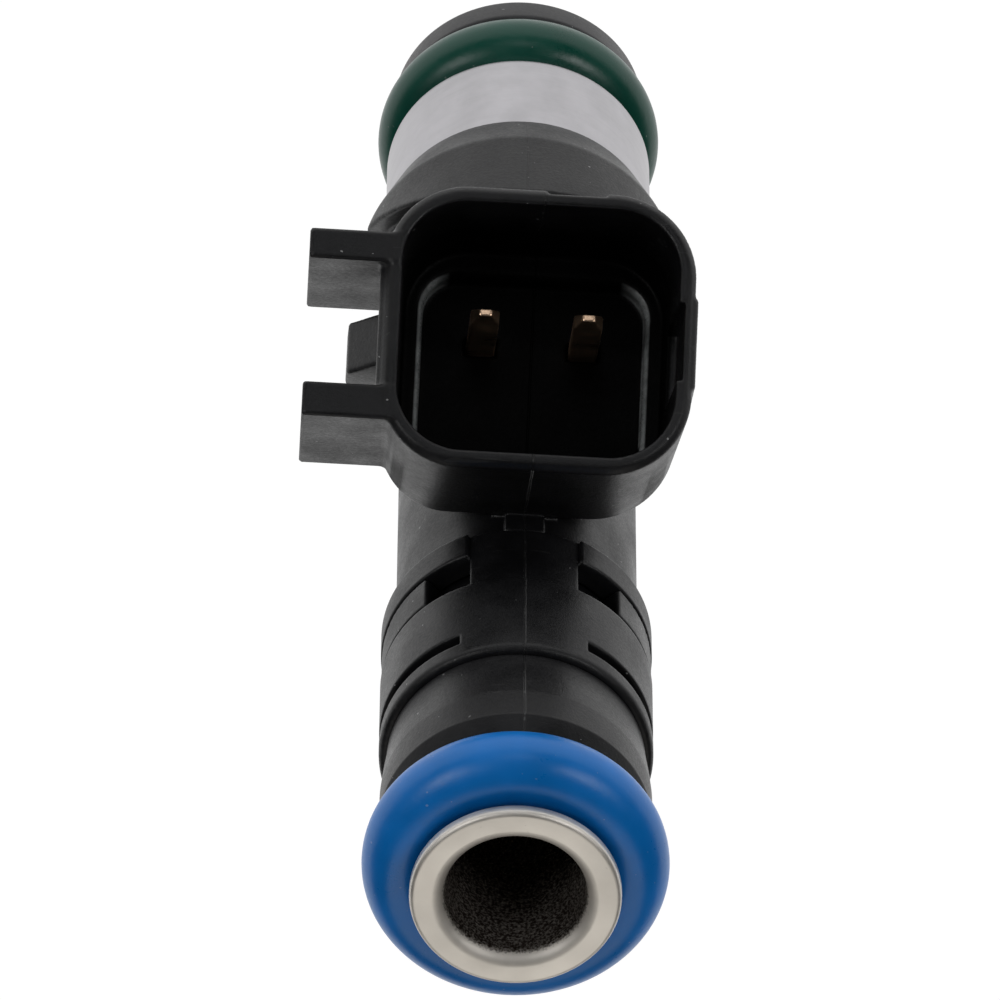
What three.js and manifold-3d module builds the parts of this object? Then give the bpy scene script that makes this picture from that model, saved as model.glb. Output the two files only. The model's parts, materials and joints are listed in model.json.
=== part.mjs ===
// A port fuel injector: rail inlet at the top (+Z), spray nozzle at the bottom, angled
// two-way connector towards -Y with its latch on the +X side. Millimetres. The origin is
// the centre of the lower seal ring, on the injector's axis.
import * as THREE from 'three';
import { mergeVertices } from 'three/addons/utils/BufferGeometryUtils.js';
import Module from 'manifold-3d';

const wasm = await Module();
wasm.setup();

// ---- Driving dimensions ---------------------------------------------------------------

const OUTER_SIDES = 36; // facets round the larger turned pieces
const INNER_SIDES = 18; // facets round the pieces inside the valve sleeve and the tube
const FIT = 0.04; // radial clearance between nested pieces
const FACE_GAP = 0.05; // clearance between faces that rest on each other
const POCKET_GAP = 0.12; // clearance round a piece that is let into moulded plastic

// Seal rings: standard 7.52 x 3.53 injector rings, 64 mm apart.
const SEAL_SECTION_R = 1.765;
const SEAL_MID_R = 5.525;
const SEAL_SPACING = 64;

// Inlet tube.
const TUBE_R = 3.72;
const TUBE_BORE_R = 3.35;
const TUBE_BOTTOM_Z = 27.05;
const TUBE_TOP_Z = 66.85;
const FLANGE_R = 5.02;

// Support cone and adapter collar below the upper seal ring.
const CONE_R = 6.5;
const CONE_FOOT_R = 6.2;
const CONE_TOP_Z = 62.15;
const COLLAR_R = 6.59;
const COLLAR_INNER_R = 5.4;
const COLLAR_TOP_Z = 55.5;
const COLLAR_BOTTOM_Z = 45.25;
const SLOT_Z = 53.64;
const SLOT_HEIGHT = 0.72;
const SLOT_FROM_DEG = 28.2;
const SLOT_TO_DEG = 104;
const WINDOW_Z = 47.1;
const WINDOW_HEIGHT = 2.5;
const WINDOW_FROM_DEG = 24.6;
const WINDOW_TO_DEG = 136;
const PANEL_RECESS = 0.2; // depth of the flat-bottomed recess between the windows
const LUG_FROM_DEG = 45.4;
const LUG_GAP = 0.14;

// Moulded body.
const NECK_R = 5.88;
const SPIGOT_R = 5.3;
const COVER_R = 6.95;
const COVER_BOTTOM_Z = 9.05;
const COVER_TOP_Z = 25;
const SHOULDER_Z = 29.5;
const WEDGE_R = 8.1;
const WEDGE_FULL_Z = 12.25;
const WEDGE_V = 14.2; // height, from the plug axis, of the wedge's slanted end
const TAB_HALF_WIDTH = 0.95;

// Connector. Local axes: x = +X, y = towards the nozzle, z = into the mouth.
const PLUG_ANGLE = THREE.MathUtils.degToRad(50); // between the plug axis and the injector axis
const MOUTH_Y = -16.7;
const MOUTH_Z = 43.2;
const SHROUD_HALF_X = 7.5;
const SHROUD_HALF_V = 7.05;
const SHROUD_CORNER = 4.0;
const SHROUD_DEPTH = 8.4;
const SHROUD_BACK_HALF_X = 7.15;
const PLUG_BASE_DEPTH = 9.5;
const ARM_DEPTH = 21;
const RIM_CHAMFER = 0.3;
const CAVITY_HALF_X = 6.7;
const CAVITY_HALF_V = 6.25;
const CAVITY_CORNER = 3.2;
const CAVITY_STEP_DEPTH = 7.4;
const CAVITY_FLOOR_DEPTH = 8.7;
const KEY_SLOT_DEPTH = 6;
const WINGS = [[2.97, 4.46], [-4.92, -3.24]]; // where each guide wing starts and ends along y
const WALL_RIB_HALF_WIDTH = 3.85;
const WING_REACH = 11.2;
const WING_DEPTH = 8.4;
const RAMP_REACH = 9.05;
const RAMP_FROM = -1.5;
const RAMP_WIDTH = 2.55;

// Terminals.
const PIN_X = 2.5;
const PIN_V = 1.5;
const PIN_WIDTH = 1.4;
const PIN_THICKNESS = 0.7;
const PIN_TIP_DEPTH = 2.8;
const LEG_X = 2.2;
const LEG_WIDTH = 0.8;
const LEG_Y = -4.45;
const LEG_BOTTOM_Z = 22.75;

// Solenoid.
const HOUSING_R = 6.8;
const HOUSING_STEP_Z = 9.0;
const HOUSING_UPPER_R = 6.45;
const HOUSING_INNER_R = 5.9;
const HOUSING_BOTTOM_Z = 2.3;
const HOUSING_FLOOR_Z = 3.0;
const HOUSING_TOP_Z = 23.45;
const BOBBIN_BOTTOM_Z = 10.3;
const BOBBIN_TOP_Z = 22.2;
const BOBBIN_FLANGE = 0.8;
const BOBBIN_HUB_R = 4.0;
const WINDING_R = 5.55;
const BOSS_TOP_Z = 24.8;
const BOSS_HALF_DEG = 35;
const WASHER_GAP_DEG = 38;
const WASHER_THICKNESS = 1.0;

// Valve.
const SLEEVE_R = 3.4;
const SLEEVE_BORE_R = 3.0;
const SLEEVE_BOTTOM_Z = 8.55;
const SLEEVE_TOP_Z = 24.55;
const BODY_R = 3.72;
const BODY_BOTTOM_Z = -3.1;
const BODY_TOP_Z = 10.2;
const POLE_FACE_Z = 13.62; // the needle lifts 0.1 mm, which leaves 0.02 mm below the pole
const ARMATURE_TOP_Z = 13.5;
const ARMATURE_BOTTOM_Z = 7.0;
const NEEDLE_R = 0.96;
const NEEDLE_BORE_R = 0.5;
const NEEDLE_TOP_Z = 11.0;
const BALL_R = 1.5;
const BALL_Z = -0.6;
const GUIDE_R = 1.55;
const SPRING_MID_R = 1.08;
const SPRING_WIRE_R = 0.19;
const SPRING_TOP_Z = 21;
const SPRING_TURNS = 8;

// ---- Solids ---------------------------------------------------------------------------

// A closed mesh as a solid that can be joined and cut.
function toSolid(geometry) {
  const bare = geometry.clone();
  bare.deleteAttribute('normal');
  bare.deleteAttribute('uv');
  const merged = mergeVertices(bare, 1e-5);
  const index = merged.index.array;
  const kept = [];
  for (let i = 0; i < index.length; i += 3) {
    const [a, b, c] = [index[i], index[i + 1], index[i + 2]];
    if (a !== b && b !== c && c !== a) kept.push(a, b, c);
  }
  const vertProperties = new Float32Array(merged.attributes.position.array);
  const triVerts = new Uint32Array(kept);
  return new wasm.Manifold(new wasm.Mesh({ numProp: 3, vertProperties, triVerts }));
}

function toGeometry(solid) {
  const mesh = solid.getMesh();
  const geometry = new THREE.BufferGeometry();
  geometry.setAttribute('position', new THREE.BufferAttribute(new Float32Array(mesh.vertProperties), 3));
  geometry.setIndex(new THREE.BufferAttribute(new Uint32Array(mesh.triVerts), 1));
  geometry.computeVertexNormals();
  return geometry;
}

// A base geometry with others joined to it, and then others cut from it.
function combine(base, joined, cut) {
  let solid = toSolid(base);
  for (const piece of joined) solid = solid.add(toSolid(piece));
  for (const piece of cut) solid = solid.subtract(toSolid(piece));
  return toGeometry(solid);
}

// Corners [x, y, fillet] as a list of points, each corner with a fillet rounded off.
function roundedCorners(corners, steps = 2) {
  const at = (i) => new THREE.Vector2(...corners.at(i % corners.length).slice(0, 2));
  return corners.flatMap(([, , fillet = 0], i) => {
    const corner = at(i);
    if (!fillet) return [corner];
    const towards = (other) => corner.clone().add(other.sub(corner).setLength(fillet));
    const curve = new THREE.QuadraticBezierCurve(towards(at(i - 1)), corner, towards(at(i + 1)));
    return curve.getPoints(steps);
  });
}

// A turned piece. The corners [r, z, fillet] run outwards along the bottom, up the outside
// and down the inside.
function turned(corners, sides = OUTER_SIDES) {
  const points = roundedCorners(corners);
  points.push(points[0].clone());
  return new THREE.LatheGeometry(points, sides).rotateX(Math.PI / 2);
}

function tube(outer, inner, bottom, top, sides = OUTER_SIDES) {
  return turned([[inner, bottom], [outer, bottom], [outer, top], [inner, top]], sides);
}

// A solid rod on the axis.
function rod(radius, bottom, top, sides = OUTER_SIDES) {
  const half = [[0, bottom], [radius, bottom], [radius, top], [0, top]];
  return new THREE.LatheGeometry(half.map((point) => new THREE.Vector2(...point)), sides).rotateX(Math.PI / 2);
}

// Part of a ring between two angles, measured from -Y towards +X, standing on z = bottom.
function ringSector(outer, inner, fromDeg, toDeg, bottom, height) {
  const [from, to] = [fromDeg, toDeg].map((angle) => THREE.MathUtils.degToRad(angle - 90));
  const shape = new THREE.Shape();
  shape.absarc(0, 0, outer, from, to, false);
  shape.absarc(0, 0, inner, to, from, true);
  const curveSegments = Math.max(2, Math.ceil(Math.abs(toDeg - fromDeg) / 10));
  const options = { depth: height, bevelEnabled: false, curveSegments };
  return new THREE.ExtrudeGeometry(shape, options).translate(0, 0, bottom);
}

function block(fromX, toX, fromY, toY, fromZ, toZ) {
  const box = new THREE.BoxGeometry(toX - fromX, toY - fromY, toZ - fromZ);
  return box.translate((fromX + toX) / 2, (fromY + toY) / 2, (fromZ + toZ) / 2);
}

// A rounded rectangle swept along +z through rings {z, x, y}: x and y are half sizes.
function loft(rings, corner, steps = 3) {
  const [halfX, halfY] = [rings[0].x, rings[0].y];
  const outline = [[-halfX, -halfY], [halfX, -halfY], [halfX, halfY], [-halfX, halfY]];
  const shape = new THREE.Shape(roundedCorners(outline.map((point) => [...point, corner]), steps));
  const last = rings.length - 1;
  const geometry = new THREE.ExtrudeGeometry(shape, { depth: last, steps: last, bevelEnabled: false });
  const position = geometry.attributes.position;
  for (let i = 0; i < position.count; i += 1) {
    const ring = rings[Math.round(position.getZ(i))];
    const x = position.getX(i);
    const y = position.getY(i);
    position.setXYZ(i, x + Math.sign(x) * (ring.x - halfX), y + Math.sign(y) * (ring.y - halfY), ring.z);
  }
  return geometry;
}

// ---- Connector frame ------------------------------------------------------------------

const intoMouth = new THREE.Vector3(0, Math.sin(PLUG_ANGLE), -Math.cos(PLUG_ANGLE));
const towardsNozzle = new THREE.Vector3(0, -Math.cos(PLUG_ANGLE), -Math.sin(PLUG_ANGLE));
const plugFrame = new THREE.Matrix4()
  .makeBasis(new THREE.Vector3(1, 0, 0), towardsNozzle, intoMouth)
  .setPosition(0, MOUTH_Y, MOUTH_Z);

// The point of the YZ plane at a height v and a depth from the mouth.
function plugPoint(v, depth) {
  const point = new THREE.Vector3(0, v, depth).applyMatrix4(plugFrame);
  return new THREE.Vector2(point.y, point.z);
}

// An outline in the YZ plane given a width along X, centred on x.
function plateAcross(outline, x, width) {
  const frame = new THREE.Matrix4().makeBasis(
    new THREE.Vector3(0, 1, 0),
    new THREE.Vector3(0, 0, 1),
    new THREE.Vector3(1, 0, 0),
  );
  const plate = new THREE.ExtrudeGeometry(new THREE.Shape(outline), { depth: width, bevelEnabled: false });
  return plate.translate(0, 0, -width / 2).applyMatrix4(frame).translate(x, 0, 0);
}

// ---- Sub-parts ------------------------------------------------------------------------

function sealRing(centreZ) {
  const ring = new THREE.TorusGeometry(SEAL_MID_R, SEAL_SECTION_R, 12, OUTER_SIDES);
  return ring.rotateZ(-Math.PI / 2).translate(0, 0, centreZ);
}

function inletTube() {
  const rimLow = TUBE_TOP_Z - 0.62;
  const underside = TUBE_TOP_Z - 1.3;
  return turned([
    [TUBE_BORE_R, TUBE_BOTTOM_Z],
    [TUBE_R, TUBE_BOTTOM_Z, 0.12],
    [TUBE_R, underside - 0.5, 0.3],
    [FLANGE_R - 0.75, underside + 0.2, 0.3],
    [FLANGE_R, rimLow, 0.1],
    [FLANGE_R, TUBE_TOP_Z, 0.25],
    [TUBE_BORE_R, TUBE_TOP_Z, 0.7],
  ]);
}

function supportCone() {
  const bottom = COLLAR_TOP_Z + FACE_GAP;
  return turned([
    [TUBE_R + FIT, bottom],
    [CONE_FOOT_R, bottom],
    [CONE_FOOT_R + 0.06, bottom + 0.9],
    [CONE_R - 0.1, bottom + 2.3, 0.5],
    [CONE_R, bottom + 3.4],
    [CONE_R, CONE_TOP_Z - 1.3],
    [CONE_R - 0.75, CONE_TOP_Z],
    [TUBE_R + FIT, CONE_TOP_Z],
  ]);
}

function adapterCollar() {
  const sleeve = turned([
    [COLLAR_INNER_R, COLLAR_BOTTOM_Z],
    [COLLAR_R, COLLAR_BOTTOM_Z, 0.12],
    [COLLAR_R, COLLAR_TOP_Z, 0.4],
    [COLLAR_INNER_R, COLLAR_TOP_Z],
  ]);
  const reach = COLLAR_R + 1;
  const inside = COLLAR_INNER_R - 1;
  const cuts = [-1, 1].flatMap((side) => {
    const sector = (from, to, z, height) =>
      ringSector(reach, inside, Math.min(side * from, side * to), Math.max(side * from, side * to), z, height);
    return [
      sector(SLOT_FROM_DEG, SLOT_TO_DEG, SLOT_Z, SLOT_HEIGHT),
      sector(WINDOW_FROM_DEG, WINDOW_TO_DEG, WINDOW_Z, WINDOW_HEIGHT),
    ];
  });
  const panel = ringSector(
    reach, COLLAR_R - PANEL_RECESS, -WINDOW_FROM_DEG, WINDOW_FROM_DEG,
    COLLAR_BOTTOM_Z - 1, WINDOW_Z + WINDOW_HEIGHT - COLLAR_BOTTOM_Z + 1,
  );
  return combine(sleeve, [], [...cuts, panel]);
}

// The body that is moulded round the solenoid and the tube, before the connector is added.
function mouldedCore() {
  const spigotZ = COLLAR_BOTTOM_Z - FACE_GAP;
  return turned([
    [HOUSING_UPPER_R + FIT, COVER_BOTTOM_Z],
    [COVER_R, COVER_BOTTOM_Z, 0.15],
    [COVER_R, COVER_TOP_Z, 1],
    [NECK_R, SHOULDER_Z, 1],
    [NECK_R, spigotZ],
    [SPIGOT_R, spigotZ],
    [SPIGOT_R, COLLAR_TOP_Z],
    [TUBE_R + FIT, COLLAR_TOP_Z],
    [TUBE_R + FIT, HOUSING_TOP_Z + 0.1],
    [HOUSING_UPPER_R + FIT, HOUSING_TOP_Z + 0.1],
  ]);
}

// The wedge on the coil cover below the connector. It flares towards the connector and ends
// in a slanted face parallel to the plug axis.
function coverWedge() {
  const inner = COVER_R - 0.4;
  const flare = turned([
    [inner, COVER_BOTTOM_Z],
    [COVER_R + 0.08, COVER_BOTTOM_Z],
    [WEDGE_R, WEDGE_FULL_Z, 0.8],
    [WEDGE_R, COVER_TOP_Z],
    [inner, COVER_TOP_Z],
  ]);
  const nozzleSide = block(-20, 20, WEDGE_V, WEDGE_V + 30, -20, 60).applyMatrix4(plugFrame);
  return toGeometry(toSolid(flare).intersect(toSolid(nozzleSide)));
}

function plugShroud() {
  return loft([
    { z: 0, x: SHROUD_HALF_X - RIM_CHAMFER, y: SHROUD_HALF_V - RIM_CHAMFER },
    { z: RIM_CHAMFER, x: SHROUD_HALF_X, y: SHROUD_HALF_V },
    { z: SHROUD_DEPTH, x: SHROUD_BACK_HALF_X, y: SHROUD_HALF_V },
  ], SHROUD_CORNER, 4).applyMatrix4(plugFrame);
}

// The plug's base behind the shroud and the arm that joins it to the coil cover.
function plugArm() {
  return loft([
    { z: CAVITY_STEP_DEPTH, x: 6.2, y: 5.5 },
    { z: PLUG_BASE_DEPTH, x: 6.2, y: 5.5 },
    { z: PLUG_BASE_DEPTH + 3, x: 5.4, y: 5.1 },
    { z: ARM_DEPTH, x: 4.4, y: 5.1 },
  ], 3.2, 3).translate(0, 0.3, 0).applyMatrix4(plugFrame);
}

// The guide wings, the locking ramp between them and the ribs on the shroud's sides.
function latchPieces() {
  const rooted = SHROUD_HALF_X - 0.9;
  const wings = WINGS.map(([from, to]) => {
    const outline = [[rooted, from], [WING_REACH, from, 0.25], [WING_REACH, to, 0.25], [rooted, to]];
    const shape = new THREE.Shape(roundedCorners(outline));
    return new THREE.ExtrudeGeometry(shape, { depth: WING_DEPTH, bevelEnabled: false });
  });
  const rampSide = new THREE.Shape(roundedCorners([
    [rooted, 2.1],
    [SHROUD_HALF_X, 2.3],
    [RAMP_REACH, 4.3],
    [RAMP_REACH, 6.2],
    [rooted, 6.2],
  ]));
  const ramp = new THREE.ExtrudeGeometry(rampSide, { depth: RAMP_WIDTH, bevelEnabled: false });
  ramp.rotateX(Math.PI / 2).translate(0, RAMP_FROM + RAMP_WIDTH, 0);
  const wallRib = block(
    rooted, SHROUD_HALF_X + 0.22, -WALL_RIB_HALF_WIDTH, WALL_RIB_HALF_WIDTH, 0.5, 1.6,
  );
  const keyRib = block(-SHROUD_HALF_X - 0.15, -rooted, -2.5, 2, 0.35, KEY_SLOT_DEPTH);
  return [...wings, ramp, wallRib, keyRib].map((piece) => piece.applyMatrix4(plugFrame));
}

function plugCavity() {
  const mouth = loft([
    { z: -1, x: CAVITY_HALF_X, y: CAVITY_HALF_V },
    { z: 0.2, x: CAVITY_HALF_X, y: CAVITY_HALF_V },
    { z: CAVITY_STEP_DEPTH, x: CAVITY_HALF_X - 0.35, y: CAVITY_HALF_V - 0.3 },
  ], CAVITY_CORNER, 4);
  const well = loft([
    { z: CAVITY_STEP_DEPTH - 1, x: 5.45, y: 4.7 },
    { z: CAVITY_FLOOR_DEPTH, x: 5.45, y: 4.7 },
  ], 1.8, 3);
  const keySlot = block(-CAVITY_HALF_X - 0.3, -CAVITY_HALF_X + 1, -2.2, 1.7, -1, KEY_SLOT_DEPTH - 0.4);
  const rimSlot = block(-3.0, -0.2, SHROUD_HALF_V - 0.22, SHROUD_HALF_V + 1, -1, 2);
  return [mouth, well, keySlot, rimSlot].map((piece) => piece.applyMatrix4(plugFrame));
}

// A terminal's bent strip, seen in the YZ plane: along the plug axis, then straight down.
function terminalOutline(thickness, startDepth, bottomZ) {
  const half = thickness / 2;
  const outerStart = plugPoint(PIN_V + half, startDepth);
  const innerStart = plugPoint(PIN_V - half, startDepth);
  const meets = (start, y) => {
    const along = (y - start.x) / Math.sin(PLUG_ANGLE);
    return new THREE.Vector2(y, start.y - along * Math.cos(PLUG_ANGLE));
  };
  return [
    outerStart,
    meets(outerStart, LEG_Y - half),
    new THREE.Vector2(LEG_Y - half, bottomZ),
    new THREE.Vector2(LEG_Y + half, bottomZ),
    meets(innerStart, LEG_Y + half),
    innerStart,
  ];
}

// One terminal, or with a gap the pocket that the moulding leaves for it.
function terminal(side, gap = 0) {
  const thickness = PIN_THICKNESS + 2 * gap;
  const startDepth = PIN_TIP_DEPTH + 0.9;
  const bendZ = plugPoint(PIN_V, ARM_DEPTH - 4).y - 1.5;
  const strip = plateAcross(
    terminalOutline(thickness, startDepth, bendZ - gap), side * PIN_X, PIN_WIDTH + 2 * gap,
  );
  const leg = block(
    side * LEG_X - LEG_WIDTH / 2 - gap, side * LEG_X + LEG_WIDTH / 2 + gap,
    LEG_Y - thickness / 2, LEG_Y + thickness / 2, LEG_BOTTOM_Z - gap, bendZ + 0.5,
  );
  const tip = loft([
    { z: PIN_TIP_DEPTH, x: 0.28 + gap, y: 0.16 + gap },
    { z: PIN_TIP_DEPTH + 0.8, x: PIN_WIDTH / 2 + gap, y: PIN_THICKNESS / 2 + gap },
    { z: PIN_TIP_DEPTH + 1.4, x: PIN_WIDTH / 2 + gap, y: PIN_THICKNESS / 2 + gap },
  ], 0.04, 1).translate(side * PIN_X, PIN_V, 0).applyMatrix4(plugFrame);
  return combine(strip, [leg, tip], []);
}

function mouldedBody() {
  const lugs = [-1, 1].map((side) => {
    const [from, to] = [LUG_FROM_DEG, WINDOW_TO_DEG - 1.5].map((angle) => side * angle);
    return ringSector(
      COLLAR_R - 0.05, SPIGOT_R - 0.6, Math.min(from, to), Math.max(from, to),
      WINDOW_Z + LUG_GAP, WINDOW_HEIGHT - 2 * LUG_GAP,
    );
  });
  const tab = block(-TAB_HALF_WIDTH, TAB_HALF_WIDTH, -NECK_R - 0.3, -NECK_R + 0.6, 43.5, 45.05);
  const joined = [coverWedge(), plugShroud(), plugArm(), ...latchPieces(), ...lugs, tab];
  const tubeBore = rod(TUBE_R + FIT, HOUSING_TOP_Z - 2, COLLAR_TOP_Z + 1);
  const housingBore = rod(HOUSING_UPPER_R + FIT, COVER_BOTTOM_Z - 1, HOUSING_TOP_Z + 0.1);
  const bossPocket = ringSector(
    HOUSING_INNER_R, BOBBIN_HUB_R, -BOSS_HALF_DEG - 2, BOSS_HALF_DEG + 2,
    HOUSING_TOP_Z - 1, BOSS_TOP_Z - HOUSING_TOP_Z + 1 + POCKET_GAP,
  );
  const cut = [
    tubeBore, housingBore, bossPocket, ...plugCavity(), terminal(-1, POCKET_GAP), terminal(1, POCKET_GAP),
  ];
  return combine(mouldedCore(), joined, cut);
}

function magnetHousing() {
  return turned([
    [BODY_R + FIT, HOUSING_BOTTOM_Z],
    [HOUSING_R, HOUSING_BOTTOM_Z, 0.75],
    [HOUSING_R, HOUSING_STEP_Z],
    [HOUSING_UPPER_R, HOUSING_STEP_Z],
    [HOUSING_UPPER_R, HOUSING_TOP_Z, 0.15],
    [HOUSING_INNER_R, HOUSING_TOP_Z],
    [HOUSING_INNER_R, HOUSING_FLOOR_Z],
    [BODY_R + FIT, HOUSING_FLOOR_Z],
  ]);
}

function fluxWasher() {
  const outer = HOUSING_INNER_R - FIT;
  const bottom = BOBBIN_TOP_Z + FACE_GAP;
  return ringSector(outer, SLEEVE_R + FIT, WASHER_GAP_DEG, 360 - WASHER_GAP_DEG, bottom, WASHER_THICKNESS);
}

function coilBobbin() {
  const flangeR = HOUSING_INNER_R - 2 * FIT;
  const spool = turned([
    [SLEEVE_R + FIT, BOBBIN_BOTTOM_Z],
    [flangeR, BOBBIN_BOTTOM_Z],
    [flangeR, BOBBIN_BOTTOM_Z + BOBBIN_FLANGE],
    [BOBBIN_HUB_R, BOBBIN_BOTTOM_Z + BOBBIN_FLANGE],
    [BOBBIN_HUB_R, BOBBIN_TOP_Z - BOBBIN_FLANGE],
    [flangeR, BOBBIN_TOP_Z - BOBBIN_FLANGE],
    [flangeR, BOBBIN_TOP_Z],
    [SLEEVE_R + FIT, BOBBIN_TOP_Z],
  ]);
  const bossHeight = BOSS_TOP_Z - BOBBIN_TOP_Z + 0.4;
  const boss = ringSector(
    HOUSING_INNER_R - 0.12, BOBBIN_HUB_R + 0.1, -BOSS_HALF_DEG, BOSS_HALF_DEG, BOBBIN_TOP_Z - 0.4, bossHeight,
  );
  return combine(spool, [boss], [terminal(-1, 0.1), terminal(1, 0.1)]);
}

// The winding, with a shallow ridge for each layer of turns that shows.
function coilWinding() {
  const bottom = BOBBIN_BOTTOM_Z + BOBBIN_FLANGE + FACE_GAP;
  const top = BOBBIN_TOP_Z - BOBBIN_FLANGE - FACE_GAP;
  const ridges = 6;
  const pitch = (top - bottom) / ridges;
  const outer = [];
  for (let i = 0; i < ridges; i += 1) {
    outer.push([WINDING_R - 0.15, bottom + i * pitch], [WINDING_R, bottom + (i + 0.5) * pitch]);
  }
  const inner = BOBBIN_HUB_R + FIT;
  return turned([[inner, bottom], ...outer, [WINDING_R - 0.15, top], [inner, top]]);
}

function valveSleeve() {
  return tube(SLEEVE_R, SLEEVE_BORE_R, SLEEVE_BOTTOM_Z, SLEEVE_TOP_Z);
}

function poleCore() {
  const boreR = 1.5;
  const shoulderZ = SLEEVE_TOP_Z + FACE_GAP;
  const seatZ = TUBE_BOTTOM_Z - FACE_GAP;
  return turned([
    [boreR, POLE_FACE_Z],
    [SLEEVE_BORE_R - FIT, POLE_FACE_Z, 0.15],
    [SLEEVE_BORE_R - FIT, shoulderZ],
    [TUBE_R - 0.02, shoulderZ],
    [TUBE_R - 0.02, seatZ],
    [TUBE_BORE_R - FIT, seatZ],
    [TUBE_BORE_R - FIT, seatZ + 3.5, 0.25],
    [boreR, seatZ + 3.5],
  ], INNER_SIDES);
}

function valveBody() {
  const lipR = 2.2;
  const counterboreZ = SLEEVE_BOTTOM_Z - FACE_GAP;
  return turned([
    [lipR, BODY_BOTTOM_Z],
    [BODY_R, BODY_BOTTOM_Z, 0.2],
    [BODY_R, HOUSING_FLOOR_Z + FACE_GAP],
    [HOUSING_INNER_R - FIT, HOUSING_FLOOR_Z + FACE_GAP],
    [HOUSING_INNER_R - FIT, 5.6],
    [4.4, 5.6],
    [4.4, BODY_TOP_Z],
    [SLEEVE_R + FIT, BODY_TOP_Z],
    [SLEEVE_R + FIT, counterboreZ],
    [SLEEVE_BORE_R, counterboreZ],
    [SLEEVE_BORE_R, BODY_BOTTOM_Z + 0.22],
    [lipR, BODY_BOTTOM_Z + 0.22],
  ]);
}

function armature() {
  const springPocketR = 1.45;
  const radius = SLEEVE_BORE_R - 0.05;
  return turned([
    [NEEDLE_R + 0.03, ARMATURE_BOTTOM_Z],
    [radius, ARMATURE_BOTTOM_Z, 0.2],
    [radius, ARMATURE_TOP_Z, 0.12],
    [springPocketR, ARMATURE_TOP_Z],
    [springPocketR, NEEDLE_TOP_Z],
    [NEEDLE_R + 0.03, NEEDLE_TOP_Z],
  ], INNER_SIDES);
}

// The needle is a tube with a conical seat for the ball and two cross holes for the fuel.
function valveNeedle() {
  const stem = turned([
    [NEEDLE_BORE_R, 0.92],
    [NEEDLE_R, 0.62],
    [NEEDLE_R, NEEDLE_TOP_Z],
    [NEEDLE_BORE_R, NEEDLE_TOP_Z],
  ], INNER_SIDES);
  const crossHoles = [2.2, 4.2].map((z, i) => {
    const drill = new THREE.CylinderGeometry(0.32, 0.32, 4, 10);
    return drill.rotateZ(i * Math.PI / 2).translate(0, 0, z);
  });
  return combine(stem, [], crossHoles);
}

// The ball, with flats round its waist that let the fuel past.
function valveBall() {
  const bow = new THREE.Path().absarc(0, 0, BALL_R, -Math.PI / 2, Math.PI / 2, false);
  const ball = new THREE.LatheGeometry(bow.getPoints(6), INNER_SIDES).rotateX(Math.PI / 2);
  const flatCount = 5;
  const flats = Array.from({ length: flatCount }, (_, i) =>
    block(-2, 2, -3, -BALL_R * 0.93, -2, 2).rotateZ(i * 2 * Math.PI / flatCount));
  return combine(ball, [], flats).translate(0, 0, BALL_Z);
}

function valveSeat() {
  const outer = SLEEVE_BORE_R - FIT;
  const exitR = 0.4;
  const bottom = BODY_BOTTOM_Z + 0.5;
  const exitZ = bottom + 0.25;
  return turned([
    [exitR, bottom],
    [outer, bottom],
    [outer, 1.4, 0.2],
    [2.2, 1.4],
    [GUIDE_R, 0.4],
    [GUIDE_R, exitZ + GUIDE_R - exitR],
    [exitR, exitZ],
  ], INNER_SIDES);
}

function orificePlate() {
  const holeCount = 4;
  const disc = new THREE.Shape().absarc(0, 0, SLEEVE_BORE_R - FIT, 0, 2 * Math.PI, false);
  for (let i = 0; i < holeCount; i += 1) {
    const angle = (i + 0.5) * 2 * Math.PI / holeCount;
    disc.holes.push(new THREE.Path().absarc(0.24 * Math.cos(angle), 0.24 * Math.sin(angle), 0.09, 0, 2 * Math.PI));
  }
  const plate = new THREE.ExtrudeGeometry(disc, { depth: 0.2, bevelEnabled: false, curveSegments: 6 });
  return plate.translate(0, 0, BODY_BOTTOM_Z + 0.26);
}

function nozzleCap() {
  const flangeTop = -SEAL_SECTION_R - 0.19;
  const flangeBottom = -3.65;
  const endZ = -4.1;
  return turned([
    [2.4, endZ],
    [4.6, endZ, 0.3],
    [4.9, flangeBottom],
    [6.5, flangeBottom, 0.28],
    [6.5, flangeTop, 0.3],
    [BODY_R + FIT, flangeTop],
    [BODY_R + FIT, BODY_BOTTOM_Z - FACE_GAP],
    [2.4, BODY_BOTTOM_Z - FACE_GAP],
  ]);
}

function adjustingSleeve() {
  return tube(1.46, 0.8, SPRING_TOP_Z + FACE_GAP, SPRING_TOP_Z + 8, INNER_SIDES);
}

// A compression spring whose end turns lie close together.
class SpringPath extends THREE.Curve {
  getPoint(t, target = new THREE.Vector3()) {
    const angle = t * SPRING_TURNS * 2 * Math.PI;
    const bottom = NEEDLE_TOP_Z + FACE_GAP + SPRING_WIRE_R;
    const top = SPRING_TOP_Z - SPRING_WIRE_R;
    const eased = t - 0.055 * Math.sin(2 * Math.PI * t);
    return target.set(
      SPRING_MID_R * Math.cos(angle), SPRING_MID_R * Math.sin(angle), bottom + (top - bottom) * eased,
    );
  }
}

function returnSpring() {
  const section = new THREE.Shape().absarc(0, 0, SPRING_WIRE_R, 0, 2 * Math.PI, false);
  const options = { extrudePath: new SpringPath(), steps: SPRING_TURNS * 12, curveSegments: 3 };
  return new THREE.ExtrudeGeometry(section, options);
}

// The filter's frame: a ring, ribs and a closed foot, and the mesh sleeve inside the ribs.
const FILTER_TOP_Z = 57;
const FILTER_BOTTOM_Z = 43;

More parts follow.
